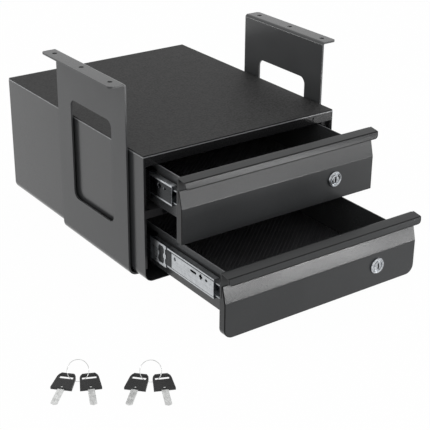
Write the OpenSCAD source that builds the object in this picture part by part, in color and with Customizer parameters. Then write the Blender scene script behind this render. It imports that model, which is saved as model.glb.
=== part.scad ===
// Lockable unit with two drawers that hangs under a desk on two folded brackets.
// Working frame of the modules: X to the right, Y back from the cabinet's front plane, Z up from its top.
// home() moves the finished pieces to the centre of the corner holes in the bracket flanges.
// A drawer's own frame: Y back from the rear face of its front, Z up from the front's lower edge.
// A slide's own frame: X from the post towards the drawer, Z up from the slide's middle.

/* [Cabinet] */
// Width over the two sides
cab_w = 300; // [280:5:400]
// Room between the slides' rear ends and the cabinet's rear face
rear_room = 10.5; // [8:0.5:40]
// Thickness of the cabinet's sheet
cab_sheet = 1; // [0.8:0.1:1.5]
// Outer radius of the folds along the bottom
cab_corner_r = 12; // [6:1:16]
// Outer radius of the folds along the top
cab_edge_r = 0.8; // [0.5:0.1:1.2]
// Width of the flanges that carry the top cover
cab_flange_w = 15; // [10:1:25]
// Thickness of the top cover
cover_t = 1.5; // [1:0.1:3]
// Step from the cabinet's side to the cover's edge
cover_reveal = 0.4; // [0.2:0.1:1]
// Height of the header's front face
header_h = 13.3; // [10:0.1:14]
// Height of the rail between the drawers
mid_rail_h = 11; // [9.5:0.1:11]
// Depth of the header's and the rails' flanges
rail_d = 22; // [16:1:30]
// Height of the striker for the lower lock
striker_h = 10.5; // [8:0.1:11]
// Width of the striker for the lower lock
striker_w = 44; // [30:1:70]

/* [Hangers] */
// Thickness of the hangers' sheet
hang_sheet = 2.5; // [2:0.1:3]
// Gap between the cabinet's side and a hanger
hang_gap = 3; // [2:0.5:12]
// Length of a hanger along the cabinet
hang_len = 172; // [150:1:220]
// Distance from the cabinet's front to the hangers' middle
hang_mid_y = 116.5; // [100:0.5:180]
// Height of the flange's top above the cover
hang_rise = 84; // [60:1:140]
// Width of the top flange from the hanger's inner face
flange_w = 23.5; // [20:0.5:40]
// Outer radius of the fold at the top flange
flange_fold_r = 4; // [3:0.5:6]
// Inner radius of the fold at the foot
foot_fold_r = 10; // [4:0.5:12]
// Width of the foot from the hanger's inner face
foot_w = 40; // [35:1:60]
// Radius of the corners of the flange and the foot
hang_corner_r = 5; // [2:0.5:8]
// Diameter of the desk screw holes
desk_hole_d = 6.5; // [4:0.1:9]
// Distance from the hanger's inner face to the desk screw holes
desk_hole_out = 12.5; // [11:0.5:16]
// Distance between neighbouring desk screw holes
desk_hole_pitch = 69.2; // [50:0.1:72]
// Width of the window in a hanger
window_w = 103; // [60:1:130]
// Height of the window's upper edge above the cover
window_rise = 25.7; // [10:0.1:50]
// Distance from the cover down to the window's lower edge
window_drop = 114; // [80:1:130]
// Radius of the window's corners
window_r = 10; // [4:1:20]
// Distance from the hanger's inner face in to the studs
stud_in = 25; // [20:0.5:32]
// Diameter of the studs' shank
stud_d = 5; // [4:0.5:6]

/* [Drawer fronts] */
// Height of a front up to the top of its pull
front_h = 84.5; // [80:0.5:110]
// Gap between the upper and the lower front
front_gap = 2; // [1:0.5:4]
// Gap above the upper front and below the lower one
front_reveal = 1; // [0.5:0.5:3]
// Gap between a closed front and the cabinet
closed_gap = 1; // [0.5:0.1:2]
// Thickness of a front's sheet
front_sheet = 1; // [0.8:0.1:1.2]
// Depth of a front's lower part
face_depth = 10.8; // [8:0.1:16]
// Height of a front's upright lower part
face_h = 46; // [42:1:50]
// Height of a front's slanted upper part
bevel_h = 21.5; // [16:0.5:24]
// Depth of a front at the slanted part's upper edge
bevel_top_depth = 5.3; // [5.3:0.1:7]
// Radius of the lower front's bottom corners
low_corner_r = 12; // [6:1:16]

/* [Pulls] */
// Thickness of a pull's sheet
pull_t = 1.2; // [1:0.1:1.6]
// Reach of a pull in front of the front's rear face
pull_depth = 17.8; // [16:0.1:24]
// Drop of a pull's top from its rear edge to its nose
pull_slope = 2; // [0:0.5:3]
// Height of a pull's lip
lip_h = 9.8; // [7:0.1:12]
// Radius of the lip's lower corners
lip_r = 5; // [2:0.5:7]
// Overlap of a pull's web behind the slanted part
web_lap = 15.5; // [8:0.5:18]
// Gap between a pull's web and the rear plate
web_gap = 2; // [1.5:0.1:2.5]

/* [Drawer boxes] */
// Thickness of a drawer box's sheet
box_sheet = 1.2; // [0.8:0.1:1.5]
// Height of a drawer box's underside above the front's lower edge
box_low = 12.6; // [11:0.1:16]
// Height of a drawer box's side
box_h = 56.4; // [50:0.1:57]
// How much shorter a drawer box is than its slides
box_short = 4; // [0:1:60]
// Depth of the pocket for the lock behind the front
pocket_d = 16; // [15:0.5:24]
// Width of the flanges that fasten a drawer box to its front
box_flange_w = 12; // [9:0.5:16]
// Thickness of the liner
liner_t = 2; // [1:0.5:3]

/* [Slides] */
// Length of a slide's outer rail, which also sets the cabinet's depth
slide_l = 350; // [300:10:450]
// Thickness of a slide
slide_t = 12.7; // [12.4:0.1:14]
// Height of a slide's outer rail
slide_h = 35; // [32:1:45]
// Thickness of the outer and the inner rail's sheet
rail_t = 1.2; // [1:0.1:1.3]
// Thickness of the middle rail's sheet
middle_t = 1; // [0.8:0.1:1]
// Diameter of the balls
ball_d = 3; // [2.5:0.1:3.2]
// Clearance between the balls and the rails
ball_gap = 0.1; // [0.05:0.01:0.12]
// Thickness of the ball cages' strip
cage_t = 0.4; // [0.2:0.05:0.5]
// Distance of a closed middle rail's front behind the cabinet's front
middle_setback = 28; // [20:1:40]
// Distance of the outer rail's front behind the cabinet's front
slide_setback = 1.5; // [1.2:0.1:4]
// Height of a slide's middle above the front's lower edge
slide_z = 45.7; // [40:0.1:50]
// Distance from a ball cage's end to its first ball
ball_inset = 18.5; // [8:0.5:25]
// Number of balls in each row
ball_count = 6; // [2:1:8]

/* [Posts] */
// Depth of the posts between the cabinet's side and the slides
post_d = 8.8; // [6:0.1:14]
// Width of a post's face
post_w = 24; // [18:1:40]
// Width of a post's feet
post_foot_w = 8; // [5:0.5:12]
// Distance from the cabinet's front to the front posts' middle
post_front_y = 22; // [22:1:60]
// Distance from the slides' rear ends to the rear posts' middle
post_rear_in = 21.5; // [20:0.5:80]

/* [Locks] */
// Distance of the locks from the cabinet's right side
lock_in = 65.5; // [60:0.5:120]
// Height of the locks above the front's lower edge
lock_z = 29.3; // [25:0.1:30]
// Diameter of a lock's round face
lock_face_d = 21; // [18:0.5:24]
// Thickness of a lock's round face
lock_face_t = 3; // [1:0.5:4]
// Diameter of a lock's barrel
barrel_d = 16; // [15:0.5:17]
// Diameter of a lock's plug
plug_d = 12; // [10:0.5:13]
// Clearance between the plug and its barrel
plug_gap = 0.05; // [0.02:0.01:0.1]
// Width of the keyhole
keyhole_w = 1.6; // [1:0.1:2.5]
// Height of the keyhole
keyhole_h = 8; // [5:0.5:9]
// Distance from a lock's middle to the tip of its cam
cam_l = 26; // [24:0.1:26]
// Width of a cam
cam_w = 13; // [11:0.5:15]
// Thickness of a cam
cam_t = 2; // [1.5:0.1:2.5]
// Play between a turned cam and the edge of its slot
cam_play = 2; // [1:0.1:2.5]

/* [Keys] */
// Width of a key's head at the blade
key_head_w = 24; // [20:0.5:28]
// Height of a key's head
key_head_h = 27; // [22:0.5:32]
// Thickness of a key's head
key_head_t = 3; // [2.5:0.1:3.4]
// Length of a key's blade in front of the head
key_blade_l = 27; // [20:1:40]
// Width of a key's blade
key_blade_w = 7.6; // [6:0.1:9]
// Thickness of a key's blade
key_blade_t = 1.4; // [1:0.1:2]
// Radius of a key ring's middle line
key_ring_r = 12; // [11.5:0.1:13]
// Thickness of a key ring's wire
key_wire_d = 1.5; // [1:0.1:1.6]

/* [Position shown] */
// How far the upper drawer is open
upper_open = 71.7; // [0:0.1:175]
// How far the lower drawer is open
lower_open = 160; // [0:0.1:175]

/* [Hidden] */
$fn = 48;

// Colours
grey_coat = "#5c5d5f";
dark_coat = "#3c3d3f";
black_coat = "#2a2a2b";
zinc = "#c9ccd0";
chrome = "#d8dadd";
black_rubber = "#1e1e1f";
black_plastic = "#222223";

// General clearances
cut = 1;            // how far a cutter runs past the face that it cuts
seam = 0.2;         // gap between sheets that meet along a fold
fit_gap = 0.5;      // gap between a rail across the mouth and what passes it
hole_gap = 0.1;     // radial gap around a fixed screw, stud or rivet
run_gap = 0.3;      // least gap between a slide's strips
back_gap = 0.2;     // gap between a ball cage and a rail's back
lay_gap = 0.3;      // gap around a sheet or a mat that lies loose on another

// The two drawers
UPPER = 0;
LOWER = 1;
LEFT = -1;
RIGHT = 1;
drawer_open = [upper_open, lower_open];
upper_z = -front_reveal - front_h;
lower_z = upper_z - front_gap - front_h;
front_z = [upper_z, lower_z];
cab_h = -lower_z + front_reveal;
cab_half = cab_w / 2;
cab_in = cab_half - cab_sheet;
cab_floor = -cab_h + cab_sheet;
slide_rear = slide_setback + slide_l;
cab_d = slide_rear + rear_room;
lock_x = cab_half - lock_in;

// Where the cabinet's inner pieces lie
cover_under = -cover_t;
flange_under = cover_under - cab_sheet;
post_face = cab_in - post_d;
post_ys = [post_front_y, slide_rear - post_rear_in];
post_top = cover_under - header_h;
post_bottom = cab_floor + cab_corner_r;
rail_flange_half = post_face - fit_gap;
mid_rail_top = front_z[UPPER] + box_low - fit_gap;
striker_top = cab_floor + striker_h;

// Where a drawer's pieces lie
box_half = post_face - slide_t;
box_top = box_low + box_h;
box_l = slide_l - box_short;
bevel_top = face_h + bevel_h;
bevel_angle = atan((face_depth - bevel_top_depth) / bevel_h);
pull_rear = front_sheet + web_gap;
web_front = pull_rear + pull_t;
front_half = cab_half;
lip_low = front_h - pull_slope - lip_h;
lip_groove = 0.5;
up_corner_r = 0.5;
front_rivet_x = box_half - box_sheet - box_flange_w / 2;
front_rivet_xs = [-front_rivet_x, front_rivet_x];
box_rivet_in = 13;
box_rivet_z = [box_low + box_rivet_in, box_top - box_rivet_in];
bumper_in = 30;
bumper_d = 8;
rivet_d = 4;
rivet_head_d = 7;
rivet_head_t = 1;

// Where a lock's pieces lie
barrel_end = 7.5;
lock_nut_t = 3;
lock_nut_af = 20;
cam_front = barrel_end + 0.5;
cam_rear = cam_front + cam_t;
tail_w = 6;
cam_screw_d = 9;
cam_screw_t = 2;
plug_proud = 0.3;
cam_slot_w = cam_w + 2;
cam_slot_y = [cam_front - closed_gap - cam_play, cam_rear - closed_gap + cam_play];

// A slide's section, measured from its outer rail's back
half_outer = slide_h / 2;
ball_outer_w = half_outer - rail_t - ball_gap - ball_d / 2;
half_middle = ball_outer_w - ball_d / 2 - ball_gap;
ball_inner_w = half_middle - middle_t - ball_gap - ball_d / 2;
half_inner = ball_inner_w - ball_d / 2 - ball_gap;
middle_step = 0.35;
middle_step_w = 10;
middle_slant = 1;
inner_cage_gap = 0.15;
rail_end_gap = 1.5;
cage_lip = 0.6;
outer_cage_x = rail_t + back_gap;
middle_x = outer_cage_x + cage_t + run_gap;
inner_cage_x = middle_x + middle_step + middle_t + inner_cage_gap;
inner_x = inner_cage_x + cage_t + back_gap;
outer_short = 1.7;
middle_short = 2.7;
outer_depth = slide_t - outer_short;
middle_depth = slide_t - middle_short;
ball_outer_x = outer_depth / 2 + 0.5;
ball_inner_x = middle_depth / 2 + 2;
stage = slide_l / 2;
middle_front = middle_setback;
middle_rear = slide_rear - rail_end_gap;
inner_front = 5;
inner_short = 10;
inner_rear = inner_front + slide_l - inner_short;
rail_rivet_in = 40;
rail_rivet_ys = [inner_front + rail_rivet_in, (inner_front + inner_rear) / 2, inner_rear - rail_rivet_in];
outer_cage_front = slide_setback + stage / 2 - ball_inset;
outer_cage_rear = middle_rear - stage / 2;
inner_cage_front = middle_front + stage / 2 - ball_inset;
inner_cage_rear = inner_rear - closed_gap - stage / 2;

// Where a hanger's parts lie
hang_in = cab_half + hang_gap;
hang_out = hang_in + hang_sheet;
foot_top = -cab_h;
foot_under = foot_top - hang_sheet;
stud_x = hang_in - stud_in;
desk_hole_ys = [for (i = [-1:1]) hang_mid_y + i * desk_hole_pitch];
stud_head_d = 7.5;
stud_head_t = 0.8;
nut_t = 4.5;
nut_flange_d = 11;
nut_flange_t = 1.2;
nut_af = 8;

// The keys, lying where they can be picked up
key_places = [[-325, -140], [-260, -186]];
key_turn = -35;
key_splay = 11;
key_lift = 3.2;
key_shoulder = key_head_w / 2 - 1.5;
key_side = key_shoulder + 0.6;
key_bar = 3.5;
key_slot_h = 6.5;
key_slot_w = 16;
key_hole_d = 3;
key_shank = 6;
key_fit = 0.05;
key_blade_low = (key_head_t - key_blade_t) / 2;
key_reach = key_head_h + key_blade_l;
key_pitch_angle = asin(key_lift / norm([key_reach, key_blade_low])) + atan(key_blade_low / key_reach);
ring_tilt = 58;

// Helpers

module home() {
    translate([0, -hang_mid_y, -hang_rise]) children();
}

module box(low, high) {
    translate(low) cube(high - low);
}

module along_x(x0, x1) {
    translate([x0, 0, 0]) rotate([90, 0, 90]) linear_extrude(x1 - x0) children();
}

module along_y(y0, y1) {
    translate([0, y1, 0]) rotate([90, 0, 0]) linear_extrude(y1 - y0) children();
}

module rod_x(d, x0, x1) {
    translate([x0, 0, 0]) rotate([0, 90, 0]) cylinder(d = d, h = x1 - x0);
}

module rod_y(d, y0, y1) {
    translate([0, y1, 0]) rotate([90, 0, 0]) cylinder(d = d, h = y1 - y0);
}

module hex_y(af, y0, y1) {
    translate([0, y1, 0]) rotate([90, 0, 0]) cylinder(d = af / cos(30), h = y1 - y0, $fn = 6);
}

// A cutter that rounds the corner of a plane outline that points along (sx, sy)
module round_off(corner, sx, sy, r) {
    translate(corner) scale_sign(sx, sy) difference() {
        translate([-r, -r]) square(r + cut);
        translate([-r, -r]) circle(r = r);
    }
}

module scale_sign(sx, sy) {
    mirror([sx < 0 ? 1 : 0, 0]) mirror([0, sy < 0 ? 1 : 0]) children();
}

// An upright outline, centred across and standing on zero, with its own corner radii below and above
module panel(w, h, r_low, r_high) {
    difference() {
        translate([-w / 2, 0]) square([w, h]);
        for (s = [-1, 1]) {
            if (r_low > 0) round_off([s * w / 2, 0], s, -1, r_low);
            if (r_high > 0) round_off([s * w / 2, h], s, 1, r_high);
        }
    }
}

module quarter_ring(r_in, r_out) {
    intersection() {
        difference() {
            circle(r = r_out);
            circle(r = r_in);
        }
        square(r_out + cut);
    }
}

module at_drawer(d) {
    translate([0, -closed_gap - drawer_open[d], front_z[d]]) children();
}

module at_side(side) {
    mirror([side > 0 ? 1 : 0, 0, 0]) children();
}

// A slide's own frame at the cabinet: X runs from the post towards the drawer
module at_slide(d, side) {
    at_side(side) translate([-post_face, 0, front_z[d] + slide_z]) children();
}

// Cabinet

module cabinet_wrap() {
    tall = cab_h + cover_under;
    color(grey_coat) difference() {
        translate([0, 0, -cab_h]) along_y(0, cab_d) difference() {
            panel(cab_w, tall, cab_corner_r, cab_edge_r);
            translate([0, cab_sheet])
                panel(2 * cab_in, tall - 2 * cab_sheet, cab_corner_r - cab_sheet, 0);
            translate([-cab_in + cab_flange_w, tall / 2]) square([2 * (cab_in - cab_flange_w), tall]);
        }
        for (y = [0, cab_d])
            box([-cab_in, y - 2 * cab_sheet, flange_under - seam],
                [cab_in, y + 2 * cab_sheet, cover_under + cut]);
        for (s = [-1, 1], y = desk_hole_ys)
            translate([s * stud_x, y, -cab_h - cut])
                cylinder(d = stud_d + 4 * hole_gap, h = cab_sheet + 2 * cut);
    }
}

module top_cover() {
    half = cab_half - cover_reveal;
    color(black_coat) box([-half, 0, -cover_t], [half, cab_d - cover_reveal, 0]);
}

module back_panel() {
    edge = cab_in - seam;
    low = cab_floor + seam;
    flange_half = cab_in - cab_flange_w - seam;
    color(grey_coat) union() {
        translate([0, 0, low]) along_y(cab_d - cab_sheet, cab_d)
            panel(2 * edge, flange_under - seam - low, cab_corner_r - cab_sheet, 0);
        box([-flange_half, cab_d - rail_d, flange_under], [flange_half, cab_d, cover_under]);
        box([-flange_half, cab_d - cab_sheet, flange_under - cab_sheet],
            [flange_half, cab_d, cover_under]);
    }
}

module front_header() {
    flange_half = cab_in - cab_flange_w - seam;
    low = cover_under - header_h;
    color(grey_coat) union() {
        box([-cab_in, 0, low], [cab_in, cab_sheet, cover_under]);
        box([-flange_half, 0, flange_under], [flange_half, rail_d, cover_under]);
        box([-rail_flange_half, 0, low], [rail_flange_half, rail_d / 2, low + cab_sheet]);
    }
}

// A channel that is open to the rear, with a slot in its top flange that a turned cam drops into
module slotted_channel(x0, x1, flange_x0, flange_x1, low, high) {
    difference() {
        union() {
            box([x0, 0, low], [x1, cab_sheet, high]);
            box([flange_x0, 0, high - cab_sheet], [flange_x1, rail_d, high]);
            box([flange_x0, 0, low], [flange_x1, rail_d, low + cab_sheet]);
        }
        box([lock_x - cam_slot_w / 2, cam_slot_y[0], high - cab_sheet - cut],
            [lock_x + cam_slot_w / 2, cam_slot_y[1], high + cut]);
    }
}

module mid_rail() {
    color(grey_coat)
        slotted_channel(-cab_in, cab_in, -rail_flange_half, rail_flange_half,
            mid_rail_top - mid_rail_h, mid_rail_top);
}

module lower_striker() {
    x0 = lock_x - striker_w / 2;
    x1 = lock_x + striker_w / 2;
    color(black_coat) slotted_channel(x0, x1, x0, x1, cab_floor, striker_top);
}

module posts(side) {
    face = post_d - cab_sheet;
    half = post_w / 2;
    half_in = half - cab_sheet;
    foot_end = half + post_foot_w;
    color(black_coat) at_side(side) for (y = post_ys) translate([-cab_in, y, 0]) difference() {
        translate([0, 0, post_bottom]) linear_extrude(post_top - post_bottom) polygon([
            [0, -foot_end], [cab_sheet, -foot_end], [cab_sheet, -half], [post_d, -half], [post_d, half],
            [cab_sheet, half], [cab_sheet, foot_end], [0, foot_end],
            [0, half_in], [face, half_in], [face, -half_in], [0, -half_in]
        ]);
        for (d = [UPPER, LOWER])
            translate([0, 0, front_z[d] + slide_z])
                rod_x(rivet_d + 2 * hole_gap, face - cut, post_d + cut);
    }
}

module slide_screws() {
    color(zinc) for (d = [UPPER, LOWER], side = [LEFT, RIGHT], y = post_ys)
        at_slide(d, side) translate([0, y, 0]) union() {
            rod_x(rivet_d, 1 - post_d, rail_t);
            rod_x(rivet_head_d, 0, rail_t);
        }
}

module drawer_bumpers() {
    bumper_t = closed_gap - hole_gap;
    bumper_x = cab_half - bumper_in;
    color(black_rubber) for (s = [-1, 1], z = [cover_under - header_h / 2, mid_rail_top - mid_rail_h / 2])
        translate([s * bumper_x, 0, z]) rod_y(bumper_d, -bumper_t, 0);
}

// Hangers

module hanger(side) {
    half = hang_len / 2;
    fold_x = hang_in + flange_fold_r;
    fold_z = hang_rise - flange_fold_r;
    bend_x = hang_in - foot_fold_r;
    bend_z = foot_top + foot_fold_r;
    foot_x = hang_in - foot_w;
    flange_x = hang_in + flange_w;
    color(grey_coat) at_side(-side) translate([0, hang_mid_y, 0]) difference() {
        along_y(-half, half) union() {
            translate([hang_in, bend_z]) square([hang_sheet, fold_z - bend_z]);
            translate([fold_x, fold_z]) mirror([1, 0])
                quarter_ring(flange_fold_r - hang_sheet, flange_fold_r);
            translate([fold_x, hang_rise - hang_sheet]) square([flange_x - fold_x, hang_sheet]);
            translate([bend_x, bend_z]) mirror([0, 1]) quarter_ring(foot_fold_r, foot_fold_r + hang_sheet);
            translate([foot_x, foot_under]) square([bend_x - foot_x, hang_sheet]);
        }
        along_x(hang_in - cut, hang_out + cut) translate([0, -window_drop])
            panel(window_w, window_drop + window_rise, window_r, window_r);
        for (s = [-1, 1]) {
            translate([0, 0, hang_rise - hang_sheet - cut]) linear_extrude(hang_sheet + 2 * cut)
                round_off([flange_x, s * half], 1, s, hang_corner_r);
            translate([0, 0, foot_under - cut]) linear_extrude(hang_sheet + 2 * cut)
                round_off([foot_x, s * half], -1, s, hang_corner_r);
        }
        for (y = desk_hole_ys) {
            translate([hang_in + desk_hole_out, y - hang_mid_y, hang_rise - hang_sheet - cut])
                cylinder(d = desk_hole_d, h = hang_sheet + 2 * cut);
            translate([stud_x, y - hang_mid_y, foot_under - cut]) {
                cylinder(d = stud_d + 2 * hole_gap, h = hang_sheet + 2 * cut);
                cylinder(d = stud_head_d + 2 * hole_gap, h = stud_head_t + cut);
            }
        }
    }
}

module hanger_studs() {
    color(zinc) for (s = [-1, 1], y = desk_hole_ys) translate([s * stud_x, y, foot_under]) union() {
        cylinder(d = stud_head_d, h = stud_head_t);
        cylinder(d = stud_d, h = hang_sheet + cab_sheet + nut_t + 1);
    }
}

module hanger_nuts() {
    color(zinc) for (s = [-1, 1], y = desk_hole_ys) translate([s * stud_x, y, cab_floor]) difference() {
        union() {
            cylinder(d = nut_flange_d, h = nut_flange_t);
            cylinder(d = nut_af / cos(30), h = nut_t, $fn = 6);
        }
        translate([0, 0, -cut]) cylinder(d = stud_d + 2 * hole_gap, h = nut_t + 2 * cut);
    }
}

// Slides

// A channel lying on its side: its back at x0, its flanges to x1, their outer faces at plus and minus half
module channel(x0, x1, half, t) {
    difference() {
        translate([x0, -half]) square([x1 - x0, 2 * half]);
        translate([x0 + t, t - half]) square([x1 - x0, 2 * (half - t)]);
    }
}

// The outer rail's section: a channel whose edges turn inwards
module outer_section() {
    lip = 0.9;
    mouth = outer_depth - rail_t;
    wall = half_outer - rail_t;
    polygon([
        [0, -half_outer], [outer_depth, -half_outer], [outer_depth, lip - wall], [mouth, lip - wall],
        [mouth, -wall], [rail_t, -wall], [rail_t, wall], [mouth, wall],
        [mouth, wall - lip], [outer_depth, wall - lip], [outer_depth, half_outer], [0, half_outer]
    ]);
}

module outer_rail(d, side) {
    color(zinc) at_slide(d, side) difference() {
        along_y(slide_setback, slide_rear) outer_section();
        for (y = post_ys) translate([0, y, 0]) rod_x(rivet_head_d + 2 * hole_gap, -cut, rail_t + cut);
    }
}

// The middle rail's section: its back steps inwards above and below
module middle_section() {
    back = middle_x;
    step = middle_x + middle_step;
    slant_end = middle_step_w + middle_slant;
    hollow = middle_step_w - middle_slant / 2;
    difference() {
        polygon([
            [back, -middle_step_w], [step, -slant_end], [step, -half_middle],
            [middle_depth, -half_middle], [middle_depth, half_middle], [step, half_middle],
            [step, slant_end], [back, middle_step_w]
        ]);
        translate([step + middle_t, middle_t - half_middle])
            square([slide_t, 2 * (half_middle - middle_t)]);
        translate([back + middle_t, -hollow]) square([slide_t, 2 * hollow]);
    }
}

// A cutter through the middle rail's back: a slot of overall length l and height h, centred at y
module back_slot(y, l, h) {
    deep = middle_x + 2 * middle_t;
    reach = (l - h) / 2;
    for (end = [y - reach, y + reach]) translate([0, end, 0]) rod_x(h, 0, deep);
    if (reach > 0) box([0, y - reach, -h / 2], [deep, y + reach, h / 2]);
}

// The holes in the middle rail's back, in order from its front end
module middle_rail(d, side) {
    front = middle_front - drawer_open[d];
    mark_z = 4.8;
    mark_h = 3;
    cross_y = 26.5;
    cross_l = 7;
    deep = middle_x + 2 * middle_t;
    color(zinc) at_slide(d, side) difference() {
        along_y(front, middle_rear - drawer_open[d]) middle_section();
        translate([0, front, mark_z]) {
            back_slot(15, 5, mark_h);
            back_slot(42, 13, mark_h);
            back_slot(82, 5, 5);
            for (half = [[cross_l, mark_h] / 2, [mark_h, cross_l] / 2])
                box([0, cross_y - half[0], -half[1]], [deep, cross_y + half[0], half[1]]);
        }
    }
}

module inner_rail(d, side) {
    at_drawer(d) color(zinc) at_side(side) translate([-post_face, 0, slide_z]) difference() {
        along_y(inner_front, inner_rear) translate([slide_t, 0]) mirror([1, 0])
            channel(0, slide_t - inner_x, half_inner, rail_t);
        for (y = rail_rivet_ys) translate([0, y, 0])
            rod_x(rivet_d + 2 * hole_gap, slide_t - rail_t - cut, slide_t + cut);
    }
}

// A strip bent into a channel, with a row of balls in each flange
module ball_cage(front, rear, back_x, ball_x, ball_w) {
    pitch = (rear - front - 2 * ball_inset) / (ball_count - 1);
    ball_ys = [for (i = [0:ball_count - 1]) front + ball_inset + i * pitch];
    half = ball_w + cage_t / 2;
    difference() {
        along_y(front, rear) channel(back_x, ball_x + ball_d / 2 + cage_lip, half, cage_t);
        for (y = ball_ys, s = [-1, 1]) translate([ball_x, y, s * ball_w - ball_d / 2])
            cylinder(d = ball_d + ball_gap, h = ball_d);
    }
    for (y = ball_ys, s = [-1, 1]) translate([ball_x, y, s * ball_w]) sphere(d = ball_d);
}

module outer_cages(d) {
    color(zinc) for (side = [LEFT, RIGHT]) at_slide(d, side) translate([0, -drawer_open[d] / 2, 0])
        ball_cage(outer_cage_front, outer_cage_rear, outer_cage_x, ball_outer_x, ball_outer_w);
}

module inner_cages(d) {
    color(zinc) for (side = [LEFT, RIGHT]) at_slide(d, side) translate([0, -drawer_open[d], 0])
        ball_cage(inner_cage_front, inner_cage_rear, inner_cage_x, ball_inner_x, ball_inner_w);
}

// Drawer fronts

function corner_r(d) = d == LOWER ? low_corner_r : up_corner_r;

module front_outline(d, h, inset) {
    translate([0, inset]) panel(2 * (front_half - inset), h, max(corner_r(d) - inset, 0), 0);
}

module front_skin(d) {
    lean = front_sheet / cos(bevel_angle);
    knee = face_h - front_sheet * tan(bevel_angle / 2);
    slope = tan(bevel_angle);
    top_cut = bevel_top + cut;
    color(dark_coat) at_drawer(d) difference() {
        intersection() {
            along_x(-front_half, front_half) polygon([
                [-front_sheet, 0], [-face_depth, 0], [-face_depth, face_h],
                [-bevel_top_depth, bevel_top], [-front_sheet, bevel_top]
            ]);
            along_y(-face_depth - cut, 0) front_outline(d, front_h, 0);
        }
        intersection() {
            along_x(-front_half, front_half) polygon([
                [cut, 0], [front_sheet - face_depth, 0], [front_sheet - face_depth, knee],
                [lean - bevel_top_depth + cut * slope, top_cut], [cut, top_cut]
            ]);
            along_y(-face_depth - cut, cut) front_outline(d, front_h, front_sheet);
        }
        translate([lock_x, 0, lock_z]) rod_y(barrel_d + 2 * hole_gap, -face_depth - cut, 0);
    }
}

module front_plate(d) {
    half = front_half - front_sheet;
    top = front_h - pull_t - lay_gap;
    color(dark_coat) at_drawer(d) difference() {
        union() {
            along_y(-front_sheet, 0) front_outline(d, bevel_top, 0);
            box([-half, -front_sheet, face_h], [half, 0, top]);
            box([-half, -pull_rear, top - front_sheet], [half, 0, top]);
        }
        translate([lock_x, 0, lock_z]) rod_y(barrel_d + 2 * hole_gap, -front_sheet - cut, cut);
        for (x = front_rivet_xs, z = box_rivet_z) translate([x, 0, z])
            rod_y(rivet_d + 2 * hole_gap, -front_sheet - cut, cut);
    }
}

module pull(d) {
    nose = -pull_depth;
    nose_z = front_h - pull_slope;
    notch_w = 1.2 * front_sheet;
    color(grey_coat) at_drawer(d) difference() {
        along_x(-front_half, front_half) polygon([
            [-pull_rear, bevel_top - web_lap], [-pull_rear, front_h],
            [nose + 2 * lip_groove, nose_z + 2 * lip_groove * pull_slope / (pull_depth - pull_rear)],
            [nose + lip_groove, nose_z - lip_groove], [nose, nose_z - lip_groove], [nose, lip_low],
            [nose + pull_t, lip_low], [nose + pull_t, nose_z - pull_t], [-web_front, front_h - pull_t],
            [-web_front, bevel_top - web_lap]
        ]);
        for (s = [-1, 1]) {
            along_y(nose - cut, nose + 2 * pull_t) round_off([s * front_half, lip_low], s, -1, lip_r);
            box([s * front_half - notch_w, -pull_depth / 2, 0],
                [s * front_half + notch_w, 0, bevel_top + lay_gap]);
        }
    }
}

// Drawer boxes

// A tray whose sides run on to the front round a pocket for the lock, open below
module drawer_box(d) {
    inside = box_half - box_sheet;
    mouth = inside - box_flange_w;
    pocket_rear = pocket_d - box_sheet;
    pocket_top = box_top - box_sheet;
    color(dark_coat) at_drawer(d) difference() {
        box([-box_half, 0, box_low], [box_half, box_l, box_top]);
        box([-inside, pocket_d, box_low + box_sheet], [inside, box_l - box_sheet, box_top + cut]);
        box([-inside, box_sheet, box_low - cut], [inside, pocket_rear, pocket_top]);
        box([-mouth, -cut, box_low - cut], [mouth, pocket_rear, pocket_top]);
        for (x = front_rivet_xs, z = box_rivet_z) translate([x, 0, z])
            rod_y(rivet_d + 2 * hole_gap, -cut, box_sheet + cut);
        for (s = [-1, 1], y = rail_rivet_ys) translate([s * box_half, y, slide_z])
            rod_x(rivet_d + 2 * hole_gap, -box_sheet - cut, box_sheet + cut);
    }
}

module front_rivets(d) {
    color(zinc) at_drawer(d) for (x = front_rivet_xs, z = box_rivet_z) translate([x, 0, z]) union() {
        rod_y(rivet_head_d, -front_sheet - rivet_head_t, -front_sheet);
        rod_y(rivet_d, -front_sheet - rivet_head_t, box_sheet + rivet_head_t);
        rod_y(rivet_head_d, box_sheet, box_sheet + rivet_head_t);
    }
}

module rail_rivets(d) {
    wall = slide_t + box_sheet;
    color(zinc) at_drawer(d) for (side = [LEFT, RIGHT], y = rail_rivet_ys)
        at_side(side) translate([-post_face, y, slide_z]) union() {
            rod_x(rivet_head_d, slide_t - rail_t - rivet_head_t, slide_t - rail_t);
            rod_x(rivet_d, slide_t - rail_t - rivet_head_t, wall + rivet_head_t);
            rod_x(rivet_head_d, wall, wall + rivet_head_t);
        }
}

module liner(d) {
    half = box_half - box_sheet - lay_gap;
    floor_z = box_low + box_sheet;
    color(black_rubber) at_drawer(d)
        box([-half, pocket_d + lay_gap, floor_z],
            [half, box_l - box_sheet - lay_gap, floor_z + liner_t]);
}

// Locks

module at_lock(d) {
    at_drawer(d) translate([lock_x, 0, lock_z]) children();
}

module lock_body(d) {
    face = -face_depth - lock_face_t;
    color(chrome) at_lock(d) difference() {
        union() {
            rod_y(lock_face_d, face, -face_depth);
            rod_y(barrel_d, -face_depth, barrel_end);
        }
        rod_y(plug_d + 2 * plug_gap, face - cut, barrel_end + cut);
    }
}

module lock_nut(d) {
    color(zinc) at_lock(d) difference() {
        hex_y(lock_nut_af, 0, lock_nut_t);
        rod_y(barrel_d + 2 * hole_gap, -cut, lock_nut_t + cut);
    }
}

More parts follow.
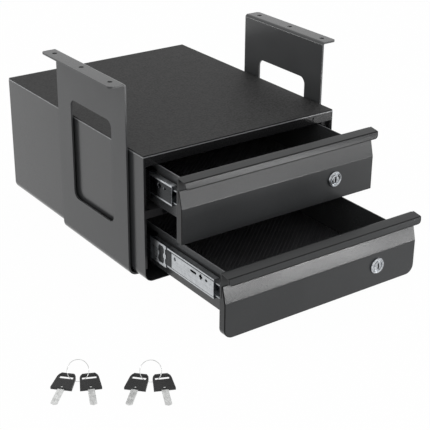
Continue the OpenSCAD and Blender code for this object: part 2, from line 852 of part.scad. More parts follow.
module lock_plug(d) {
    face = -face_depth - lock_face_t - plug_proud;
    half = tail_w / 2;
    color(chrome) at_lock(d) difference() {
        union() {
            rod_y(plug_d, face, cam_front);
            box([-half, 0, -half], [half, cam_rear, half]);
        }
        box([-keyhole_w / 2, face - cut, -keyhole_h / 2], [keyhole_w / 2, 0, keyhole_h / 2]);
    }
}

module lock_cam(d) {
    tip = cam_l - cam_w / 2;
    nib = 2;
    hole = tail_w / 2 + plug_gap;
    color(zinc) at_lock(d) difference() {
        union() {
            rod_y(cam_w, cam_front, cam_rear);
            box([0, cam_front, -cam_w / 2], [cam_l - nib, cam_rear, cam_w / 2]);
            box([tip, cam_front, nib - cam_w / 2], [cam_l, cam_rear, cam_w / 2 - nib]);
        }
        box([-hole, cam_front - cut, -hole], [hole, cam_rear + cut, hole]);
    }
}

module cam_screw(d) {
    color(zinc) at_lock(d) rod_y(cam_screw_d, cam_rear, cam_rear + cam_screw_t);
}

// Keys

// A bunch of two keys on a ring: the blades point along -Y and the heads rest on the ring's low side
module at_keys() {
    for (place = key_places) translate([place[0], place[1], foot_under])
        rotate([0, 0, key_turn]) children();
}

module each_key() {
    for (s = [-1, 1])
        translate([s * key_side, 0, key_lift]) rotate([0, 0, s * key_splay])
            rotate([key_pitch_angle, 0, 0]) children();
}

module key_head() {
    half = key_head_w / 2;
    shoulder = key_shoulder;
    difference() {
        linear_extrude(key_head_t) difference() {
            polygon([
                [-half, -key_head_h], [half, -key_head_h],
                [shoulder, -2 * key_bar], [shoulder - 1, -key_bar], [shoulder - key_bar, 0],
                [key_bar - shoulder, 0], [1 - shoulder, -key_bar], [-shoulder, -2 * key_bar]
            ]);
            translate([-key_slot_w / 2, -key_bar - key_slot_h]) square([key_slot_w, key_slot_h]);
            translate([0, key_hole_d - key_head_h]) circle(d = key_hole_d);
        }
        translate([0, 0, key_blade_low - key_fit])
            box([-key_blade_w / 2 - key_fit, -key_head_h - cut, 0],
                [key_blade_w / 2 + key_fit, key_shank + key_fit - key_head_h, key_blade_t + 2 * key_fit]);
    }
}

// A blade with cuts along both edges and a groove on each face
module key_blade() {
    half = key_blade_w / 2;
    point = 2;
    teeth = 4;
    pitch = (key_blade_l - key_shank - point) / teeth;
    groove_w = 1.6;
    groove_t = 0.3;
    groove_end = 1;
    bite = 0.8;
    deep_bite = 0.3;
    difference() {
        translate([0, -key_head_h, key_blade_low]) linear_extrude(key_blade_t) difference() {
            polygon([
                [-half, key_shank], [-half, point - key_blade_l], [0, -key_blade_l],
                [half, point - key_blade_l], [half, key_shank]
            ]);
            translate([0, key_hole_d]) circle(d = key_hole_d);
            for (s = [-1, 1], i = [0:teeth - 1]) scale_sign(s, 1) translate([half, -key_shank - i * pitch])
                polygon([[-bite - deep_bite * (i % 2), 0], [cut, pitch / 3], [cut, -pitch / 3]]);
        }
        for (z = [key_blade_low - cut, key_blade_low + key_blade_t - groove_t])
            box([-groove_w / 2, point + groove_end - key_head_h - key_blade_l, z],
                [groove_w / 2, -key_head_h - groove_end, z + cut + groove_t]);
    }
}

module key_heads() {
    color(black_plastic) at_keys() each_key() key_head();
}

module key_blades() {
    color(chrome) at_keys() each_key() key_blade();
}

// The ring's low side lies under the heads, and the ring rises through their slots over their bars
module key_rings() {
    low_y = 1.2 - key_bar - key_slot_h;
    color(chrome) at_keys() translate([0, low_y, key_wire_d / 2]) rotate([ring_tilt, 0, 0])
        translate([0, key_ring_r, 0]) rotate_extrude() translate([key_ring_r, 0]) circle(d = key_wire_d);
}

home() cabinet_wrap();
home() top_cover();
home() back_panel();
home() front_header();
home() mid_rail();
home() lower_striker();
home() posts(LEFT);  // left_posts
home() posts(RIGHT);  // right_posts
home() hanger(LEFT);  // left_hanger
home() hanger(RIGHT);  // right_hanger
home() hanger_studs();
home() hanger_nuts();
home() slide_screws();
home() drawer_bumpers();
home() outer_rail(UPPER, LEFT);  // upper_left_outer_rail
home() outer_rail(UPPER, RIGHT);  // upper_right_outer_rail
home() outer_rail(LOWER, LEFT);  // lower_left_outer_rail
home() outer_rail(LOWER, RIGHT);  // lower_right_outer_rail
home() middle_rail(UPPER, LEFT);  // upper_left_middle_rail
home() middle_rail(UPPER, RIGHT);  // upper_right_middle_rail
home() middle_rail(LOWER, LEFT);  // lower_left_middle_rail
home() middle_rail(LOWER, RIGHT);  // lower_right_middle_rail
home() outer_cages(UPPER);  // upper_outer_cages
home() outer_cages(LOWER);  // lower_outer_cages
home() inner_cages(UPPER);  // upper_inner_cages
home() inner_cages(LOWER);  // lower_inner_cages
home() front_skin(UPPER);  // upper_front_skin
home() front_plate(UPPER);  // upper_front_plate
home() pull(UPPER);  // upper_pull
home() drawer_box(UPPER);  // upper_drawer_box
home() liner(UPPER);  // upper_liner
home() inner_rail(UPPER, LEFT);  // upper_left_inner_rail
home() inner_rail(UPPER, RIGHT);  // upper_right_inner_rail
home() rail_rivets(UPPER);  // upper_rail_rivets
home() front_rivets(UPPER);  // upper_front_rivets
home() lock_body(UPPER);  // upper_lock_body
home() lock_nut(UPPER);  // upper_lock_nut
home() lock_plug(UPPER);  // upper_lock_plug
home() lock_cam(UPPER);  // upper_lock_cam
home() cam_screw(UPPER);  // upper_cam_screw
home() front_skin(LOWER);  // lower_front_skin
home() front_plate(LOWER);  // lower_front_plate
home() pull(LOWER);  // lower_pull
home() drawer_box(LOWER);  // lower_drawer_box
home() liner(LOWER);  // lower_liner
home() inner_rail(LOWER, LEFT);  // lower_left_inner_rail
home() inner_rail(LOWER, RIGHT);  // lower_right_inner_rail
home() rail_rivets(LOWER);  // lower_rail_rivets
home() front_rivets(LOWER);  // lower_front_rivets
home() lock_body(LOWER);  // lower_lock_body
home() lock_nut(LOWER);  // lower_lock_nut
home() lock_plug(LOWER);  // lower_lock_plug
home() lock_cam(LOWER);  // lower_lock_cam
home() cam_screw(LOWER);  // lower_cam_screw
home() key_heads();
home() key_blades();
home() key_rings();
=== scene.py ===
"""Looks for a lockable unit with two drawers that hangs under a desk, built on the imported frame."""

from __future__ import annotations

import logging
import math
from dataclasses import dataclass
from enum import Enum
from typing import Any, Callable, Sequence

import bmesh
import bpy
from mathutils import Euler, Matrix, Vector

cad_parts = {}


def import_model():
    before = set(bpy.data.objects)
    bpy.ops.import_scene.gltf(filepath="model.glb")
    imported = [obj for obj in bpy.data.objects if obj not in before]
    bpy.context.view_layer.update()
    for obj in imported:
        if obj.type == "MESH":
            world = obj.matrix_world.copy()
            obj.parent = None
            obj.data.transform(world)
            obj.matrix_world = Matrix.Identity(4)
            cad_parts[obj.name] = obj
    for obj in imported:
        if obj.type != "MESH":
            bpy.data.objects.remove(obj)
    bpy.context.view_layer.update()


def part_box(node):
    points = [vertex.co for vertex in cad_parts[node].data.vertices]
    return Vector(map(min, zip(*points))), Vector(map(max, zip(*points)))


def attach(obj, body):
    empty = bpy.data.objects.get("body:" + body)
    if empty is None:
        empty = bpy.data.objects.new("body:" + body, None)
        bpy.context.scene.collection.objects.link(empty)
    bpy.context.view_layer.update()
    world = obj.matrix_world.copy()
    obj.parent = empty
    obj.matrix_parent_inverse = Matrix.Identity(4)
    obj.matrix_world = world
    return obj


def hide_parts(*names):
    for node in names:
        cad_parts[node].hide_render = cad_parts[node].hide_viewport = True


MM = 0.001
# A place this near to a plane counts as on it
NEAR = MM / 2
# An edge longer than this, in metres, runs along the whole piece
LONG = 0.1
# The least part of a normal along an axis on a face that faces it, and on one that is flat across it
FACING = 0.9
FLAT = 0.97
# The numbers of faces across a fold and across a rounded corner
FOLD_STEPS = 4
CORNER_STEPS = 8

RIGHT = Vector((1, 0, 0))
BACK = Vector((0, 1, 0))
UP = Vector((0, 0, 1))

DRAWERS = ("upper", "lower")
LOG = logging.getLogger("drawer_unit")

Place = tuple[float, float, float]
Span = tuple[float, float]
Face = bpy.types.MeshPolygon
Material = bpy.types.Material
Tree = bpy.types.NodeTree
Node = bpy.types.Node
Socket = bpy.types.NodeSocket
Pattern = tuple[Node, Node, Node]
Test = Callable[[Vector, Vector], bool]
FaceTest = Callable[[Face], bool]


class Side(Enum):
    """A side of the unit, as the sign of its X."""

    LEFT = -1
    RIGHT = 1

    @property
    def word(self) -> str:
        """The side as the names of the nodes give it."""
        return self.name.lower()


# Shader nodes


def linear(hex_colour: str) -> tuple[float, float, float, float]:
    """Turns an sRGB colour, written as # and six hex digits, into linear red, green, blue and alpha."""
    channels = [int(hex_colour[start : start + 2], 16) / 255 for start in (1, 3, 5)]
    values = [c / 12.92 if c <= 0.04045 else ((c + 0.055) / 1.055) ** 2.4 for c in channels]
    return (values[0], values[1], values[2], 1.0)


def per_mm(size: float) -> float:
    """Returns the texture scale at which a pattern repeats about every size millimetres."""
    return 1 / (size * MM)


def add_node(tree: Tree, kind: str, inputs: dict | None = None, **settings: Any) -> Node:
    """Adds one node with its settings, values and links.

    Args:
        tree: The node tree that gets the node.
        kind: Blender's name of the node's type, after its ShaderNode.
        inputs: For each input, by name or number, a value, a socket to link, or a node whose first
            output is linked.
        **settings: The node's own properties.

    Returns:
        The new node.
    """
    made = tree.nodes.new(f"ShaderNode{kind}")
    for name, value in settings.items():
        setattr(made, name, value)
    for name, value in (inputs or {}).items():
        if isinstance(value, Node):
            value = value.outputs[0]
        if isinstance(value, Socket):
            tree.links.new(value, made.inputs[name])
        else:
            made.inputs[name].default_value = value
    return made


def new_material(name: str) -> tuple[Material, Tree]:
    """Returns a new material and its node tree, which is still empty."""
    material = bpy.data.materials.new(name)
    material.use_nodes = True
    material.node_tree.nodes.clear()
    return material, material.node_tree


# Finishes


@dataclass(frozen=True)
class Finish:
    """A finish that wanders between two colours. Its patterns' sizes and depth are in millimetres."""

    name: str
    low: str
    high: str
    roughness: float = 0.4
    specular: float = 0.5
    depth: float = 0.01
    # The tones at which it has its two colours, and what the pattern adds to the roughness
    tones: Span = (0.35, 0.65)
    swing: Span = (-0.05, 0.05)
    bump: float = 1.0
    metal: bool = False

    def pattern(self, tree: Tree, places: Socket) -> Pattern:
        """Adds the finish's own pattern.

        Args:
            tree: The material's node tree.
            places: The Object coordinates.

        Returns:
            The nodes that drive the colour, the roughness and the height.
        """
        raise NotImplementedError

    def build(self) -> Material:
        """Returns the finish's material."""
        material, tree = new_material(self.name)
        tone, gloss, height = self.pattern(tree, add_node(tree, "TexCoord").outputs["Object"])
        colour = add_node(tree, "ValToRGB", {"Fac": tone})
        for stop, place, shade in zip(colour.color_ramp.elements, self.tones, (self.low, self.high)):
            stop.position = place
            stop.color = linear(shade)
        least, most = (self.roughness + change for change in self.swing)
        ranges = {"From Min": 0.3, "From Max": 0.7, "To Min": least, "To Max": most}
        rough = add_node(tree, "MapRange", {"Value": gloss, **ranges})
        rise = {"Strength": self.bump, "Distance": self.depth * MM}
        relief = add_node(tree, "Bump", {"Height": height, **rise})
        inputs = {"Base Color": colour, "Roughness": rough, "Normal": relief}
        if self.metal:
            inputs["Metallic"] = 1.0
        else:
            inputs.update({"IOR": 1.5, "Specular IOR Level": self.specular})
        add_node(tree, "OutputMaterial", {"Surface": add_node(tree, "BsdfPrincipled", inputs)})
        return material


@dataclass(frozen=True)
class PowderCoat(Finish):
    """Smooth polyester powder coat, sprayed and baked on folded steel.

    It gives a satin surface with a soft orange peel and a fine, slightly uneven tone.
    """

    depth: float = 0.012
    # The real grain of the powder is about 0.1 mm, too fine to show, so it is drawn coarser
    grain: float = 0.9
    peel: float = 2.6
    cloud: float = 70.0

    def pattern(self, tree: Tree, places: Socket) -> Pattern:
        """Adds the powder's grain, its orange peel and the clouds of its tone."""
        rows = ((self.grain, 3.0, 0.6), (self.cloud, 2.0, 0.5), (self.peel, 1.0, 0.5))
        grain, cloud, peel = (
            add_node(
                tree,
                "TexNoise",
                {"Vector": places, "Scale": per_mm(size), "Detail": detail, "Roughness": rough},
            )
            for size, detail, rough in rows
        )
        tone = add_node(tree, "Mix", {"Factor": 0.35, "A": grain, "B": cloud})
        return tone, tone, add_node(tree, "Mix", {"Factor": 0.3, "A": peel, "B": grain})


@dataclass(frozen=True)
class TexturedCoat(Finish):
    """Textured powder coat on the top cover, which dries in fine pebbles.

    It gives a dry black surface with a close mottle that breaks up the highlight.
    """

    roughness: float = 0.62
    depth: float = 0.3
    tones: Span = (0.4, 0.58)
    swing: Span = (-0.08, 0.1)
    # The real pebbles are about 1 mm across, too fine to show, so they are drawn two to three times larger
    pebble: float = 2.8
    speck: float = 3.0
    mottle: float = 9.0

    def pattern(self, tree: Tree, places: Socket) -> Pattern:
        """Adds the pebbles and the mottle of lighter specks."""
        pebble = add_node(tree, "TexVoronoi", {"Vector": places, "Scale": per_mm(self.pebble)})
        speck, mottle = (
            add_node(
                tree,
                "TexNoise",
                {"Vector": places, "Scale": per_mm(size), "Detail": detail, "Roughness": rough},
            )
            for size, detail, rough in ((self.speck, 1.5, 0.6), (self.mottle, 4.0, 0.65))
        )
        tone = add_node(tree, "Mix", {"Factor": 0.2, "A": speck, "B": mottle})
        return tone, speck, add_node(tree, "Mix", {"Factor": 0.45, "A": pebble, "B": speck})


@dataclass(frozen=True)
class DrawnZinc(Finish):
    """Bright zinc plate on steel strip that was roll-formed along Y.

    It gives a silvery metal with faint streaks along the rail and cloudy patches of plating.
    """

    roughness: float = 0.3
    depth: float = 0.008
    swing: Span = (-0.07, 0.09)
    metal: bool = True
    streak: float = 0.9
    stretch: float = 0.02
    patch: float = 6.0

    def pattern(self, tree: Tree, places: Socket) -> Pattern:
        """Adds the streaks along the strip and the patches of plating."""
        along = add_node(tree, "Mapping", {"Vector": places, "Scale": (1.0, self.stretch, 1.0)})
        lines = {"Vector": along, "Scale": per_mm(self.streak), "Detail": 3.0, "Roughness": 0.6}
        streak = add_node(tree, "TexNoise", lines)
        patch = add_node(tree, "TexNoise", {"Vector": places, "Scale": per_mm(self.patch), "Detail": 4.0})
        tone = add_node(tree, "Mix", {"Factor": 0.45, "A": streak, "B": patch})
        return tone, tone, streak


@dataclass(frozen=True)
class BarrelZinc(Finish):
    """Zinc plate on small fasteners that were tumbled in a barrel.

    It gives dull silver with small facets of differing brightness.
    """

    roughness: float = 0.34
    depth: float = 0.02
    tones: Span = (0.2, 0.8)
    swing: Span = (-0.08, 0.1)
    bump: float = 0.6
    metal: bool = True
    facet: float = 1.4
    scuff: float = 0.6

    def pattern(self, tree: Tree, places: Socket) -> Pattern:
        """Adds the facets and the scuffs of the tumbling."""
        sizes = {"Vector": places, "Scale": per_mm(self.facet)}
        facet = add_node(tree, "TexVoronoi", sizes, feature="SMOOTH_F1").outputs["Color"]
        scuff = add_node(tree, "TexNoise", {"Vector": places, "Scale": per_mm(self.scuff), "Detail": 3.0})
        return add_node(tree, "RGBToBW", {"Color": facet}), scuff, scuff


@dataclass(frozen=True)
class TurnedChrome(Finish):
    """Chrome plate on a zinc lock that was turned about its own axis before plating.

    It gives mirror-like metal with very fine rings round the keyhole.
    """

    roughness: float = 0.12
    tones: Span = (0.3, 0.7)
    swing: Span = (-0.04, 0.06)
    metal: bool = True
    centre: Place = (0.0, 0.0, 0.0)
    ring: float = 1.1
    haze: float = 2.5

    def pattern(self, tree: Tree, places: Socket) -> Pattern:
        """Adds the turning's rings about the lock's axis, and the haze of the plating."""
        away = tuple(-value for value in self.centre)
        centred = add_node(tree, "Mapping", {"Vector": places, "Location": away})
        # A wave texture counts its scale in radians
        scale = per_mm(self.ring) / (2 * math.pi)
        inputs = {"Vector": centred, "Scale": scale, "Distortion": 0.4, "Detail": 1.0}
        rings = add_node(tree, "TexWave", inputs, wave_type="RINGS", rings_direction="Y").outputs["Fac"]
        haze = add_node(tree, "TexNoise", {"Vector": places, "Scale": per_mm(self.haze), "Detail": 3.0})
        return haze, haze, rings


@dataclass(frozen=True)
class MouldedBlack(Finish):
    """Black rubber or plastic, moulded in a spark-eroded tool.

    It gives a deep black with a fine even grain and a weak sheen on its ribs.
    """

    specular: float = 0.4
    depth: float = 0.03
    swing: Span = (-0.06, 0.08)
    grain: float = 0.7
    cloud: float = 21.0

    def pattern(self, tree: Tree, places: Socket) -> Pattern:
        """Adds the tool's grain and the clouds of the tone."""
        grain, cloud = (
            add_node(
                tree,
                "TexNoise",
                {"Vector": places, "Scale": per_mm(size), "Detail": detail, "Roughness": rough},
            )
            for size, detail, rough in ((self.grain, 3.0, 0.65), (self.cloud, 2.0, 0.5))
        )
        return add_node(tree, "Mix", {"Factor": 0.4, "A": grain, "B": cloud}), grain, grain


class Finishes:
    """All finishes of the unit, each built once."""

    def __init__(self, locks: dict[str, Place]) -> None:
        """Builds the materials, the chrome for the centre of each drawer's lock."""
        self.cabinet = PowderCoat("powder_coat_grey", "#3a3b3c", "#414243", roughness=0.22).build()
        self.hanger = PowderCoat(
            "powder_coat_hanger", "#474849", "#4e4f50", roughness=0.22, specular=0.32
        ).build()
        self.cover = TexturedCoat("textured_coat_black", "#0d0d0d", "#393939", specular=0.22).build()
        # Partly painted light: a black coat, drawn lighter than it is to stand in for glare on the dark
        # interior
        self.inner = PowderCoat(
            "powder_coat_black", "#343435", "#3d3d3e", roughness=0.35, specular=0.3
        ).build()
        # The header's coat is the inner black made glossier and darker; the extra darkness is painted shade
        self.lintel_painted_shade = PowderCoat("powder_coat_gloss_black_painted_shade", "#1f1f20", "#252526", roughness=0.14).build()
        self.front = PowderCoat(
            "powder_coat_front", "#2e2f30", "#343536", roughness=0.22, specular=0.27
        ).build()
        self.pull = PowderCoat(
            "powder_coat_pull", "#2d2e2f", "#333435", roughness=0.2, specular=0.24
        ).build()
        self.box = PowderCoat(
            "powder_coat_drawer", "#404142", "#48494a", roughness=0.25, specular=0.4
        ).build()
        # Painted shade: a dark, dull coat on outer folds, rims and cut edges, standing in for the shade and
        # dark reflections there
        self.painted_fold_shade = PowderCoat("powder_coat_painted_fold_shade", "#0f0f10", "#141415", specular=0.1).build()
        # Painted highlight: a bright coat along the top folds and upper edges, standing in for the light
        # that they catch
        self.painted_highlight = PowderCoat("powder_coat_painted_highlight", "#77787a", "#828385", roughness=0.25).build()
        # Partly painted light: black rubber, drawn lighter than it is to stand in for glare on the dark
        # interior
        self.liner = MouldedBlack("rubber_liner_black", "#434345", "#575759", roughness=0.33).build()
        # The bumpers are cast smooth, so they mirror the coat that they sit on
        self.bumper = MouldedBlack(
            "polyurethane_bumper_black", "#1b1b1c", "#242425", roughness=0.16, specular=0.5, depth=0.005
        ).build()
        self.plastic = MouldedBlack("plastic_key_head_black", "#19191a", "#232324", roughness=0.42).build()
        self.rail = DrawnZinc("zinc_rail_bright", "#a8abae", "#c9cccf").build()
        # Painted shade: a dark copy of the rail zinc, standing in for the shade and dark reflections on the
        # rails inside the cabinet
        self.greased = DrawnZinc("zinc_rail_greased", "#1f2123", "#393b3d", roughness=0.24).build()
        self.cage = DrawnZinc("steel_cage_strip", "#a4a7aa", "#c8cbce").build()
        self.zinc = BarrelZinc("zinc_fastener_bright", "#a5a8ac", "#cfd2d6").build()
        self.key = BarrelZinc("nickel_key_blade", "#c2c3c2", "#dfe0df", roughness=0.26, facet=3.0).build()
        self.locks = {
            drawer: TurnedChrome(f"chrome_lock_{drawer}", "#94979b", "#cccfd2", centre=centre).build()
            for drawer, centre in locks.items()
        }


# Bench work


class Workpiece:
    """One mesh on the bench, shaped with the operators that a modeller uses by hand."""

    def __init__(self, piece: bpy.types.Object) -> None:
        """Takes a mesh object into edit mode with nothing selected."""
        self.piece = piece
        self.edit()
        bpy.ops.mesh.select_all(action="DESELECT")

    @staticmethod
    def clear_selection() -> None:
        """Leaves edit mode and selects nothing."""
        if bpy.context.object and bpy.context.object.mode != "OBJECT":
            bpy.ops.object.mode_set(mode="OBJECT")
        bpy.ops.object.select_all(action="DESELECT")

    @classmethod
    def added(cls, name: str) -> Workpiece:
        """Takes up the primitive that was just added, and settles its place in its mesh."""
        piece = bpy.context.object
        piece.name = name
        bpy.ops.object.transform_apply()
        return cls(piece)

    @classmethod
    def block(cls, name: str, low: Vector, high: Vector) -> Workpiece:
        """Starts from a block between its lowest and its highest corner, in edit mode."""
        cls.clear_selection()
        bpy.ops.mesh.primitive_cube_add(size=1, location=(low + high) / 2)
        bpy.context.object.scale = high - low
        return cls.added(name)

    @classmethod
    def traced(cls, name: str, points: Sequence[Vector], closed: bool = False) -> Workpiece:
        """Starts from one vertex and extrudes it from point to point.

        Args:
            name: The piece's name.
            points: The points of the line, in order.
            closed: Whether the last point is joined to the first.

        Returns:
            The piece, in edit mode, with nothing selected.
        """
        cls.clear_selection()
        bpy.ops.mesh.primitive_plane_add(size=MM, location=points[0])
        work = cls.added(name)
        bpy.ops.mesh.select_mode(type="VERT")
        work.pick_all()
        bpy.ops.mesh.merge(type="CENTER")
        for start, end in zip(points, points[1:]):
            work.extrude(end - start)
        if closed:
            work.pick("VERT", lambda corner: len(corner.link_edges) == 1)
            bpy.ops.mesh.edge_face_add()
        bpy.ops.mesh.select_all(action="DESELECT")
        return work

    @classmethod
    def copy_of(cls, name: str, node: str) -> Workpiece:
        """Starts from a copy of a CAD node's mesh, merged and with its flat faces made whole."""
        cls.clear_selection()
        piece = bpy.data.objects.new(name, bpy.data.objects[node].data.copy())
        bpy.context.scene.collection.objects.link(piece)
        bpy.context.view_layer.objects.active = piece
        work = cls(piece)
        work.pick_all()
        bpy.ops.mesh.customdata_custom_splitnormals_clear()
        bpy.ops.mesh.remove_doubles(threshold=0.01 * MM)
        bpy.ops.mesh.dissolve_limited(angle_limit=math.radians(0.4))
        bpy.ops.mesh.select_all(action="DESELECT")
        return work

    def edit(self) -> None:
        """Makes the piece active and goes into edit mode."""
        if bpy.context.object is not self.piece:
            self.clear_selection()
            bpy.context.view_layer.objects.active = self.piece
        self.piece.select_set(True)
        bpy.ops.object.mode_set(mode="EDIT")

    def rest(self) -> None:
        """Leaves edit mode with only this piece selected."""
        self.clear_selection()
        bpy.context.view_layer.objects.active = self.piece
        self.piece.select_set(True)

    def pick(self, kind: str, test: Callable[[Any], bool]) -> None:
        """Selects what passes a test.

        Args:
            kind: Blender's word for what is tested, VERT, EDGE or FACE.
            test: Whether a vertex, edge or face is selected.
        """
        bpy.ops.mesh.select_mode(type=kind)
        bpy.ops.mesh.select_all(action="DESELECT")
        shape = bmesh.from_edit_mesh(self.piece.data)
        for element in {"VERT": shape.verts, "EDGE": shape.edges, "FACE": shape.faces}[kind]:
            element.select_set(test(element))
        bmesh.update_edit_mesh(self.piece.data)

    def pick_faces(self, test: Test) -> None:
        """Selects the faces that pass a test of their middle and normal."""
        self.pick("FACE", lambda face: test(face.calc_center_median(), face.normal))

    def pick_edges(self, test: Test) -> None:
        """Selects the edges that pass a test of their two ends."""
        self.pick("EDGE", lambda edge: test(edge.verts[0].co, edge.verts[1].co))

    def pick_all(self) -> None:
        """Selects the whole piece."""
        bpy.ops.mesh.select_all(action="SELECT")

    def move(self, by: Vector) -> None:
        """Moves what is selected."""
        bpy.ops.transform.translate(value=by)

    def extrude(self, by: Vector) -> None:
        """Extrudes what is selected."""
        bpy.ops.mesh.extrude_region_move(TRANSFORM_OT_translate={"value": by})

    def bevel(self, width: float, segments: int) -> None:
        """Rounds the selected edges."""
        bpy.ops.mesh.bevel(offset=width, segments=segments, affect="EDGES", clamp_overlap=True)

    def delete_faces(self) -> None:
        """Deletes the selected faces, and their edges where nothing else uses them."""
        bpy.ops.mesh.delete(type="FACE")

    def cut(self, point: Vector, normal: Vector, trim: bool = False) -> None:
        """Cuts the whole piece along a plane.

        Args:
            point: A point of the plane.
            normal: The plane's normal, which points ahead.
            trim: Whether what lies ahead goes and the cut is closed.
        """
        self.pick_all()
        bpy.ops.mesh.bisect(plane_co=point, plane_no=normal, use_fill=trim, clear_outer=trim)

    def mend_normals(self) -> None:
        """Merges doubles and turns all faces outwards."""
        self.pick_all()
        bpy.ops.mesh.remove_doubles(threshold=0.005 * MM)
        bpy.ops.mesh.normals_make_consistent(inside=False)

    def finish_modifier(self, kind: str, **settings: Any) -> None:
        """Adds a modifier and applies it.

        Args:
            kind: Blender's name of the modifier's type.
            **settings: The modifier's properties.
        """
        self.rest()
        modifier = self.piece.modifiers.new(kind.lower(), kind)
        for name, value in settings.items():
            setattr(modifier, name, value)
        bpy.ops.object.modifier_apply(modifier=modifier.name)

    def give_wall(self, thickness: float) -> None:
        """Gives an open shell a wall on its inner side."""
        self.finish_modifier("SOLIDIFY", thickness=thickness, offset=-1.0, use_even_offset=True)

    def soften(self, width: float, segments: int = 2, angle: float = 35.0) -> None:
        """Rounds all the piece's sharp edges a little.

        Args:
            width: The rounding's width in metres.
            segments: The number of faces across a rounded edge.
            angle: The least angle, in degrees, of an edge that is rounded.
        """
        self.finish_modifier(
            "BEVEL",
            width=width,
            segments=segments,
            limit_method="ANGLE",
            angle_limit=math.radians(angle),
            miter_outer="MITER_ARC",
        )

    def carve(self, cutter: Workpiece) -> None:
        """Cuts another piece's shape out of this one and throws the other away."""
        cutter.rest()
        self.finish_modifier("BOOLEAN", operation="DIFFERENCE", object=cutter.piece, solver="EXACT")
        bpy.data.objects.remove(cutter.piece)

    def absorb(self, other: Workpiece) -> None:
        """Joins another piece into this one."""
        self.rest()
        other.piece.select_set(True)
        bpy.ops.object.join()

    def deliver(
        self,
        material: Material,
        slot: str,
        body: str,
        node: str,
        second: Material | None = None,
        takes_second: FaceTest | None = None,
    ) -> None:
        """Smooths, dresses and mounts the finished piece.

        Args:
            material: The piece's material.
            slot: The record's slot that it takes its finish from; not used.
            body: The CAD body that carries it.
            node: The CAD node that it stands for.
            second: A second material, if it has one.
            takes_second: Whether a face gets the second material.
        """
        self.finish_modifier("TRIANGULATE", min_vertices=5)
        bpy.ops.object.shade_smooth_by_angle(angle=math.radians(32))
        self.finish_modifier("WEIGHTED_NORMAL", keep_sharp=True, weight=50)
        shell = self.piece.data
        shell.materials.clear()
        shell.materials.append(material)
        if second:
            shell.materials.append(second)
            for face in shell.polygons:
                face.material_index = int(takes_second(face))
        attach(self.piece, body)
        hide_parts(node)
        LOG.info("%s rides on %s: %d faces", self.piece.name, body, len(shell.polygons))


def turned(name: str, profile: Sequence[Span], centre: Vector, steps: int = 48) -> Workpiece:
    """Turns a closed profile about an axis along Y, as on a lathe.

    Args:
        name: The piece's name.
        profile: Radius and Y of each corner, in millimetres from the centre, in order.
        centre: A point of the axis.
        steps: The number of faces round the axis.

    Returns:
        The turned piece, closed, in edit mode.
    """
    points = [centre + Vector((radius, depth, 0)) * MM for radius, depth in profile]
    work = Workpiece.traced(name, points, closed=True)
    work.pick_all()
    bpy.ops.mesh.spin(steps=steps, angle=2 * math.pi, center=centre, axis=BACK)
    work.mend_normals()
    return work


# Pieces on the solids' own shapes


@dataclass(frozen=True)
class SoftenedNode:
    """A sheet-metal node whose shape is right, given small roundings. Sizes are in millimetres."""

    node: str
    body: str
    slot: str
    width: float

    def divide(self, work: Workpiece) -> FaceTest:
        """Cuts the faces where a second finish starts, and returns the test of the faces that take it."""
        return lambda face: False

    def build(self, material: Material, second: Material | None = None) -> None:
        """Copies the node, rounds its edges and mounts the copy in its place.

        Args:
            material: The material that it gets.
            second: The second finish, if it has one.
        """
        work = Workpiece.copy_of(f"{self.node}_edged", self.node)
        takes_second = self.divide(work)
        work.soften(self.width * MM)
        work.deliver(material, self.slot, self.body, self.node, second, takes_second)


@dataclass(frozen=True)
class RimmedNode(SoftenedNode):
    """A softened node with a second finish on its upper rim, as deep as rim: a painted highlight or painted
    shade.
    """

    rim: float

    def divide(self, work: Workpiece) -> FaceTest:
        """Cuts the rim, and returns the test of its upright and rounded faces."""
        rim_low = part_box(self.node)[1].z - self.rim * MM
        work.cut(UP * rim_low, UP)
        return lambda face: face.center.z > rim_low and abs(face.normal.z) < FLAT


@dataclass(frozen=True)
class SlideRail(SoftenedNode):
    """A roll-formed slide rail, bright on its rolled edges, with painted shade on part of its broad face
    and in its rolled steps.
    """

    shade_from_front: float = 0.0
    shade_share: float = 0.9

    def divide(self, work: Workpiece) -> FaceTest:
        """Cuts the broad face where the painted shade starts, and returns the test of the shaded faces."""
        low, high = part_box(self.node)
        start = low.y + self.shade_from_front * MM
        middle = (low.z + high.z) / 2
        reach = (high.z - low.z) / 2 * self.shade_share
        if self.shade_from_front:
            work.cut(BACK * start, BACK)

        def is_painted_rail_shade(face: Face) -> bool:
            """Tells whether a face takes the painted shade, on the broad face or in a rolled step."""
            across = abs(face.normal.x)
            broad = across > FLAT and face.center.y > start
            step = 0.3 < across < FLAT and abs(face.normal.y) < 0.2
            return (broad or step) and abs(face.center.z - middle) < reach

        return is_painted_rail_shade


